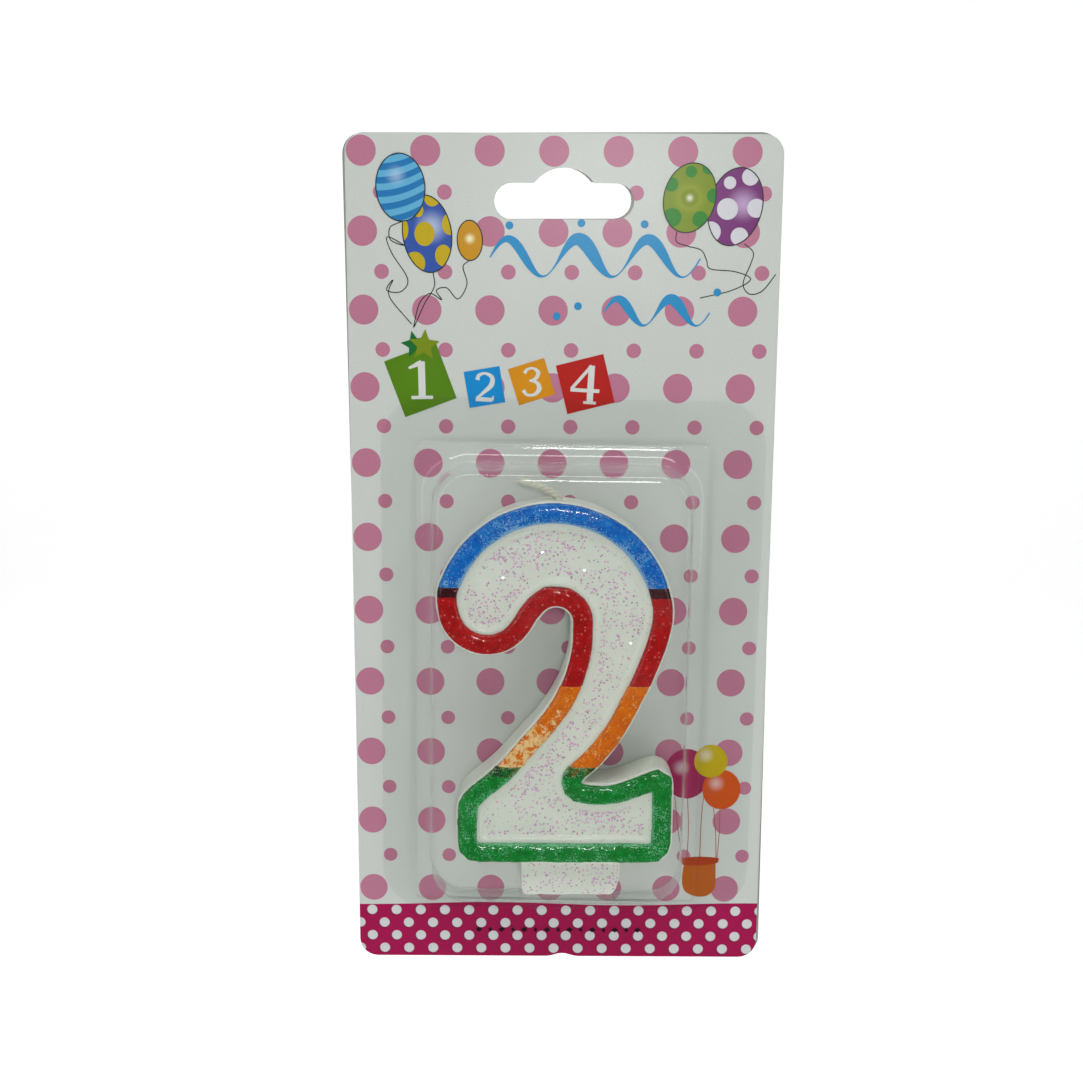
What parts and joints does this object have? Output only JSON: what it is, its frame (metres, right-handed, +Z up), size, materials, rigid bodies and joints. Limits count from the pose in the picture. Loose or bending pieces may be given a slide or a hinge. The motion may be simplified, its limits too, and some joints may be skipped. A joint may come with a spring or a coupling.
{
  "type": "number birthday candle in hang pack",
  "caption": "Wax birthday candle shaped as the numeral 2 with a painted rim, loose under a clear blister sealed to a two-ply hang card with a euro slot.",
  "frame": {"origin": "top of the hump of the hang slot, where the peg bears, in the plane of the card's printed face", "axes": "+Z up along the height of the card as it hangs, +Y from the printed face through the card to its back, +X to the right seen from the front"},
  "size_m": [0.1014, 0.0151, 0.2007],
  "materials": {
    "card_front": null,
    "card_rear": "coated board, magenta",
    "clear_pet": "clear thermoformed sheet",
    "white_wax": "paraffin wax with fine glitter",
    "wick_cotton": "waxed braided cotton",
    "blue_wax": "coloured wax with glitter",
    "red_wax": "coloured wax with glitter",
    "orange_wax": "coloured wax with glitter",
    "green_wax": "coloured wax with glitter"
  },
  "bodies": {
    "card": {"backing_card_front": "card_front", "backing_card_rear": "card_rear"},
    "blister": {"blister_shell": "clear_pet"},
    "candle": {"candle_body": "white_wax", "wick": "wick_cotton", "rim_blue": "blue_wax", "rim_red_left": "red_wax", "rim_red_right": "red_wax", "rim_orange_left": "orange_wax", "rim_orange_right": "orange_wax", "rim_green": "green_wax"}
  },
  "joints": [
    {"name": "blister_peel", "type": "hinge", "parent": "card", "child": "blister", "pos_m": [0.0028, -0.00045, -0.0524], "axis": [-0.9999, 0, 0.0105], "range_deg": [0, 110]},
    {"name": "candle_slide", "type": "slide", "parent": "card", "child": "candle", "axis": [0, 0, 1], "range_m": [0, 0.0015]}
  ]
}
